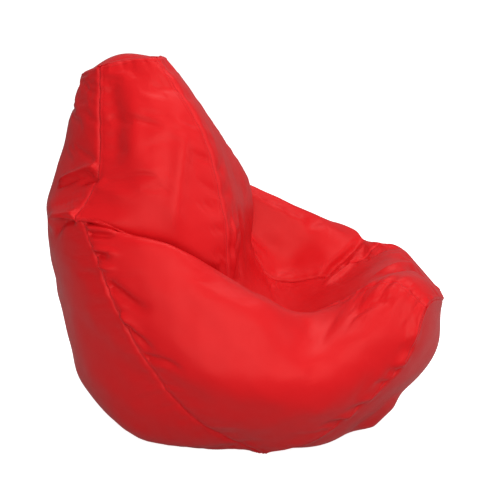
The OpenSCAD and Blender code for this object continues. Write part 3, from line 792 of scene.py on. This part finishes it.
# Repeats from geometry nodes.
def repeatTree(name, inputs, segments, rings):  # a small rounded piece repeated along a line
    tree = bpy.data.node_groups.new(name, "GeometryNodeTree")
    face = tree.interface
    face.new_socket(name="Geometry", in_out="INPUT", socket_type="NodeSocketGeometry")
    for label, kind, value in inputs:
        face.new_socket(name=label, in_out="INPUT", socket_type=kind).default_value = value
    face.new_socket(name="Finish", in_out="INPUT", socket_type="NodeSocketMaterial")
    face.new_socket(name="Geometry", in_out="OUTPUT", socket_type="NodeSocketGeometry")
    make, link = tree.nodes.new, tree.links.new
    given, out = make("NodeGroupInput"), make("NodeGroupOutput")
    curve, spaced = make("GeometryNodeMeshToCurve"), make("GeometryNodeResampleCurve")
    spaced.mode = "LENGTH"
    link(given.outputs["Geometry"], curve.inputs["Mesh"])
    link(curve.outputs["Curve"], spaced.inputs["Curve"])
    link(given.outputs["Pitch"], spaced.inputs["Length"])
    ball = make("GeometryNodeMeshUVSphere")
    ball.inputs["Segments"].default_value, ball.inputs["Rings"].default_value = segments, rings
    ball.inputs["Radius"].default_value = 0.5
    place = make("GeometryNodeInstanceOnPoints")
    link(spaced.outputs["Curve"], place.inputs["Points"])
    link(ball.outputs["Mesh"], place.inputs["Instance"])
    solid, finish = make("GeometryNodeRealizeInstances"), make("GeometryNodeSetMaterial")
    link(place.outputs["Instances"], solid.inputs["Geometry"])
    link(solid.outputs["Geometry"], finish.inputs["Geometry"])
    link(given.outputs["Finish"], finish.inputs["Material"])
    link(finish.outputs["Geometry"], out.inputs["Geometry"])
    return tree, given, place


def stitchTree():  # stitches laid end to end along a line of the cloth
    tree, given, place = repeatTree("stitchRun", (
        ("Pitch", "NodeSocketFloat", 0.004), ("Stitch Length", "NodeSocketFloat", 0.0032),
        ("Thread", "NodeSocketFloat", 0.0008)), 6, 5)
    make, link = tree.nodes.new, tree.links.new
    size = make("ShaderNodeCombineXYZ")
    for socket, label in zip(size.inputs, ("Thread", "Thread", "Stitch Length")):
        link(given.outputs[label], socket)
    tangent, turn = make("GeometryNodeInputTangent"), make("FunctionNodeAlignRotationToVector")
    turn.axis = "Z"
    link(tangent.outputs[0], turn.inputs["Vector"])
    link(turn.outputs["Rotation"], place.inputs["Rotation"])
    link(size.outputs[0], place.inputs["Scale"])
    return tree


def coilTree():  # teeth in a row along a line, all turned the same way
    tree, given, place = repeatTree("coilRow", (
        ("Pitch", "NodeSocketFloat", 0.0012), ("Tooth", "NodeSocketVector", (0.001, 0.002, 0.0016)),
        ("Turn", "NodeSocketRotation", (0, 0, 0))), 8, 6)
    tree.links.new(given.outputs["Turn"], place.inputs["Rotation"])
    tree.links.new(given.outputs["Tooth"], place.inputs["Scale"])
    return tree


stitchRun = stitchTree()


def treeInputs(modifier, values):
    sockets = {s.name: s.identifier for s in modifier.node_group.interface.items_tree
               if s.item_type == "SOCKET" and s.in_out == "INPUT"}
    for label, value in values.items():
        modifier[sockets[label]] = value


def stitches(name, path, closed, values, finish, group):
    n = len(path)
    edges = [(i, (i + 1) % n) for i in range(n if closed else n - 1)]
    mesh = bpy.data.meshes.new(name)
    mesh.from_pydata((path / 1000).tolist(), edges, [])
    obj = newObject(name, mesh)
    run = obj.modifiers.new("stitches", "NODES")
    run.node_group = group
    treeInputs(run, dict(values, Finish=finish))
    applied(obj)
    return obj


topstitch = {"Pitch": 0.0042, "Stitch Length": 0.0036, "Thread": 0.0008}
shapedNormal = gridNormals(wallShaped, True)
threadLift = {"cloth": 0.15, "floor": 0.45}


def onCover(index):  # points of a line of the cover, half a thread above the cloth
    p = wallShaped[index] + threadLift["cloth"] * shapedNormal[index]
    p[:, 2] = np.maximum(p[:, 2], threadLift["floor"])
    return p


betweenEnds = slice(stitchColumn, len(rows) - stitchColumn)
runs = {
    "rightFrontTopstitch": ("right_front_topstitch", onCover((betweenEnds, stitchColumn)), False),
    "rightBackTopstitch": ("right_back_topstitch", onCover((betweenEnds, cells - stitchColumn)), False),
    "leftBackTopstitch": ("left_back_topstitch", onCover((betweenEnds, 2 * cells + stitchColumn)), False),
    "leftFrontTopstitch": ("left_front_topstitch", onCover((betweenEnds, 3 * cells - stitchColumn)), False),
    "capTopstitch": ("cap_topstitch", onCover((len(rows) - 1 - stitchColumn, slice(None))), True),
    "baseTopstitch": ("base_topstitch", onCover((stitchColumn, slice(None))), True),
}
for name, (node, path, closed) in runs.items():
    piece = stitches(name, path, closed, topstitch, threadMat, stitchRun)
    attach(piece, "bag")
    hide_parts(node)

slotStitchGap = 3.5
around = zipPlace["slotLength"] / 2 + slotStitchGap, zipPlace["slotWidth"] / 2 + slotStitchGap
corners = [(i * around[0], j * around[1]) for i, j in ((-1, -1), (1, -1), (1, 1), (-1, 1))]
path = np.array([zipPoint(x, y, 0.1) for x, y in corners])
piece = stitches("zipStitching", path, True, topstitch, threadMat, stitchRun)
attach(piece, "bag")

coil = {"halfLength": 103.4, "gap": 1.2, "width": 2.2, "height": 1.6, "pitch": 1.25, "tooth": 1.15}
coilRow = coilTree()
for name, node, side in (("zipCoilUpper", "zip_coil_upper", -1), ("zipCoilLower", "zip_coil_lower", 1)):
    middle = side * (coil["gap"] + coil["width"]) / 2, coil["height"] / 2 - cover["thickness"]
    ends = np.array([zipPoint(x, *middle) for x in (-coil["halfLength"], coil["halfLength"])])
    tooth = tuple(coil[k] / 1000 for k in ("tooth", "width", "height"))
    piece = stitches(name, ends, False, {"Pitch": coil["pitch"] / 1000, "Tooth": tooth,
                                         "Turn": (zipPlace["tilt"], 0.0, 0.0)}, coilMat, coilRow)
    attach(piece, "bag")
    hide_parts(node)
print("stitches and zip coils made")

# Liner and filling.
innerStep = 3
liner = {"depth": 5.5, "thickness": 0.5, "fillDepth": 7.5, "tuckShare": 0.3, "middle": (-60.0, 240.0, 400.0),
         "blur": 5, "smoothing": 60, "slack": 1.5, "passes": 4}


def neighbours(field):
    up, down = np.vstack([field[1:], field[-1:]]), np.vstack([field[:1], field[:-1]])
    return up, down, np.roll(field, 1, 1), np.roll(field, -1, 1)


def sunkWall(depth):  # the shaped cover moved in, below its deepest folds
    low = lift
    for _ in range(liner["blur"]):
        low = np.minimum(low, np.minimum.reduce(neighbours(low)))
    for _ in range(liner["blur"]):
        low = (low + sum(neighbours(low))) / 5
    inward = np.minimum((moves * wallNormal).sum(2), 0)
    for _ in range(liner["blur"]):
        inward = np.minimum(inward, np.minimum.reduce(neighbours(inward)))
    g = wall + (np.minimum(low, 0) + inward - depth)[..., None] * wallNormal
    for _ in range(liner["smoothing"]):  # the liner skips the arm's tuck
        g = g + tuckArea * (sum(neighbours(g)) / 4 - g)
    g = g + liner["tuckShare"] * tuckArea * (np.array(liner["middle"]) - g)
    columns = np.concatenate([k * cells + thinned(cells + 1, innerStep)[:-1] for k in range(4)])
    g = g[thinned(len(rows), innerStep)][:, columns]
    g = keptInside(g, depth - liner["slack"])
    g[..., 2] = np.maximum(g[..., 2], depth)
    return g


def keptInside(g, room):  # no point of an inner layer comes closer to the cover than this
    n, m = wallShaped.shape[:2]
    i, j = np.meshgrid(np.arange(n - 1), np.arange(m), indexing="ij")
    k = (j + 1) % m
    quads = np.stack([i * m + j, (i + 1) * m + j, (i + 1) * m + k, i * m + k], -1).reshape(-1, 4)
    tree = BVHTree.FromPolygons(wallShaped.reshape(-1, 3).tolist(), quads.tolist())
    flat = g.reshape(-1, 3).copy()
    for _ in range(liner["passes"]):
        for v in range(len(flat)):
            near, normal, _, gap = tree.find_nearest(flat[v].tolist())
            inside = (np.array(near) - flat[v]) @ np.array(normal)
            if inside < room:
                flat[v] -= (room - inside) * np.array(normal)
    return flat.reshape(g.shape)


def sunkPatch(g, ringPoints, side, depth):
    k = thinned(cells + 1, innerStep)
    p = (g - depth * side * gridNormals(g, False))[k][:, k]
    n = len(k) - 1
    p[0, :], p[:, -1] = ringPoints[:n + 1], ringPoints[n:2 * n + 1]
    p[-1, :] = ringPoints[2 * n:3 * n + 1][::-1]
    p[:, 0] = np.concatenate([ringPoints[3 * n:], ringPoints[:1]])[::-1]
    p[..., 2] = np.maximum(p[..., 2], depth)
    return p


def innerMesh(name, grids):
    bm = bmesh.new()
    for g, flip, loop in grids:
        n, m = g.shape[:2]
        verts = [[bm.verts.new((g[i, j] / 1000).tolist()) for j in range(m)] for i in range(n)]
        for i in range(n - 1):
            for j in range(m if loop else m - 1):
                k = (j + 1) % m
                quad = [verts[i][j], verts[i][k], verts[i + 1][k], verts[i + 1][j]]
                bm.faces.new(quad[::-1] if flip else quad)
    bmesh.ops.remove_doubles(bm, verts=bm.verts, dist=1e-6)
    for f in bm.faces:
        f.smooth = True
    mesh = bpy.data.meshes.new(name)
    bm.to_mesh(mesh)
    bm.free()
    return newObject(name, mesh)


wallIn, wallDeep = sunkWall(liner["depth"]), sunkWall(liner["fillDepth"])


def innerLayers(edge, depth):  # the wall, base and cap of a layer inside the cover
    return [(edge, True, True), (sunkPatch(baseShaped, edge[0], -1, depth), False, False),
            (sunkPatch(capShaped, edge[-1], 1, depth), True, False)]


linerWall, linerBase, linerCap = [
    thicken(innerMesh(name, [layer]), liner["thickness"])
    for name, layer in zip(("linerWall", "linerBase", "linerCap"), innerLayers(wallIn, liner["depth"]))]
for piece in (linerWall, linerBase, linerCap):
    piece.data.materials.append(linerMat)
filling = innerMesh("beadFilling", innerLayers(wallDeep, liner["fillDepth"]))
filling.data.materials.append(beadMat)
print("liner and filling made")

# Who rides on what.
def acrossCloth(g, axis):  # the longest run over the cloth one way, in metres
    return np.linalg.norm(np.diff(g, axis=axis), axis=2).sum(axis).max() / 1000


def bagSheet(piece, node):
    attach(piece, "bag")
    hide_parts(node)


for panel, node, grid in sheets:
    size = acrossCloth(grid, 1), acrossCloth(grid, 0)
    bagSheet(panel, node)
for piece, node, grid in ((base, "base_panel", baseFlat), (cap, "top_cap", capFlat)):
    size = acrossCloth(grid, 0), acrossCloth(grid, 1)
    bagSheet(piece, node)
size = acrossCloth(np.concatenate([wall, wall[:, :1]], 1), 1), acrossCloth(wall, 0)
bagSheet(linerWall, "liner_wall")
for piece, node, grid in ((linerBase, "liner_base", baseFlat), (linerCap, "liner_cap", capFlat)):
    size = acrossCloth(grid, 0), acrossCloth(grid, 1)
    bagSheet(piece, node)
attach(filling, "bag")
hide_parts("bead_fill")

zipFinishes = {"zip_tape_upper": tapeMat, "zip_tape_lower": tapeMat, "zip_closed_stop": metalMat,
               "zip_open_stop": metalMat, "zip_slider": metalMat, "zip_pull": metalMat}
for node, mat in zipFinishes.items():
    obj = bpy.data.objects[node]
    for slot in obj.material_slots:
        slot.material = mat

# Floor, light, camera.
studio = {
    "floorSize": 60.0, "floorColour": (0.9, 0.9, 0.9), "floorSeenByBag": (0.35, 0.35, 0.35),
    "floorGlow": 0.08, "floorShown": 0.8, "world": 0.3, "worldShown": 1.0,
}
floorMesh = bpy.data.meshes.new("floor")
h = studio["floorSize"] / 2
floorMesh.from_pydata([(-h, -h, 0), (h, -h, 0), (h, h, 0), (-h, h, 0)], [], [(0, 1, 2, 3)])
floor = newObject("floor", floorMesh)
floorMat = bpy.data.materials.new("studioFloor")
floorMat.use_nodes = True
floorShader = floorMat.node_tree.nodes["Principled BSDF"]
floorShader.inputs["Roughness"].default_value = 0.9
floorShader.inputs["Specular IOR Level"].default_value = 0.0
floorShader.inputs["Emission Color"].default_value = (1, 1, 1, 1)
floorRay = floorMat.node_tree.nodes.new("ShaderNodeLightPath")
floorGlow = mathNode(floorMat.node_tree, "MULTIPLY", floorRay.outputs["Is Camera Ray"], studio["floorShown"])
floorGlow = mathNode(floorMat.node_tree, "ADD", floorGlow, studio["floorGlow"])
floorMat.node_tree.links.new(floorGlow, floorShader.inputs["Emission Strength"])
floorTone = floorMat.node_tree.nodes.new("ShaderNodeMix")
floorTone.data_type = "RGBA"
floorTone.inputs["A"].default_value = (*studio["floorSeenByBag"], 1)
floorTone.inputs["B"].default_value = (*studio["floorColour"], 1)
floorMat.node_tree.links.new(floorRay.outputs["Is Camera Ray"], floorTone.inputs["Factor"])
floorMat.node_tree.links.new(floorTone.outputs["Result"], floorShader.inputs["Base Color"])
floorMesh.materials.append(floorMat)

world = bpy.data.worlds.new("studio")
world.use_nodes = True
world.node_tree.nodes["Background"].inputs[0].default_value = (1, 1, 1, 1)
worldRay = world.node_tree.nodes.new("ShaderNodeLightPath")
worldExtra = studio["worldShown"] - studio["world"]
worldGlow = mathNode(world.node_tree, "MULTIPLY", worldRay.outputs["Is Camera Ray"], worldExtra)
worldGlow = mathNode(world.node_tree, "ADD", worldGlow, studio["world"])
world.node_tree.links.new(worldGlow, world.node_tree.nodes["Background"].inputs[1])
bpy.context.scene.world = world
bpy.context.scene.view_settings.view_transform = "Standard"


def softBox(name, where, aim, width, height, power):
    data = bpy.data.lights.new(name, "AREA")
    data.shape, data.size, data.size_y, data.energy = "RECTANGLE", width, height, power
    obj = newObject(name, data)
    obj.location = where
    obj.rotation_euler = (Vector(aim) - Vector(where)).to_track_quat("-Z", "Y").to_euler()


softBox("keyBox", (-3.3, -1.1, 2.5), (0, 0, 0.4), 3.0, 1.7, 80)
softBox("topBox", (0.2, -0.6, 3.2), (0, 0, 0.4), 2.2, 2.2, 45)
softBox("frontBox", (-0.8, -3.6, 1.8), (0, 0, 0.5), 1.8, 1.6, 24)
softBox("lowBox", (-3.2, 0.9, 0.9), (0, 0, 0.4), 2.2, 1.2, 30)

view = {"azimuth": -88.0, "elevation": 17.0, "distance": 3.6, "target": (0, forwardShift / 1000, 0.45),
        "focal": 1440.0, "centre": (247.0, 249.0)}
a, e = math.radians(view["azimuth"]), math.radians(view["elevation"])
back = Vector((math.sin(a) * math.cos(e), -math.cos(a) * math.cos(e), math.sin(e)))
camData = bpy.data.cameras.new("camera")
camData.sensor_width = 36.0
camData.lens = view["focal"] / 481 * 36.0
camData.shift_x = (240.5 - view["centre"][0]) / 481
camData.shift_y = (view["centre"][1] - 240.5) / 481
camera = bpy.data.objects.new("camera", camData)
camera.location = Vector(view["target"]) + view["distance"] * back
camera.rotation_euler = back.to_track_quat("Z", "Y").to_euler()
bpy.context.collection.objects.link(camera)
bpy.context.scene.camera = camera

print("scene ready")
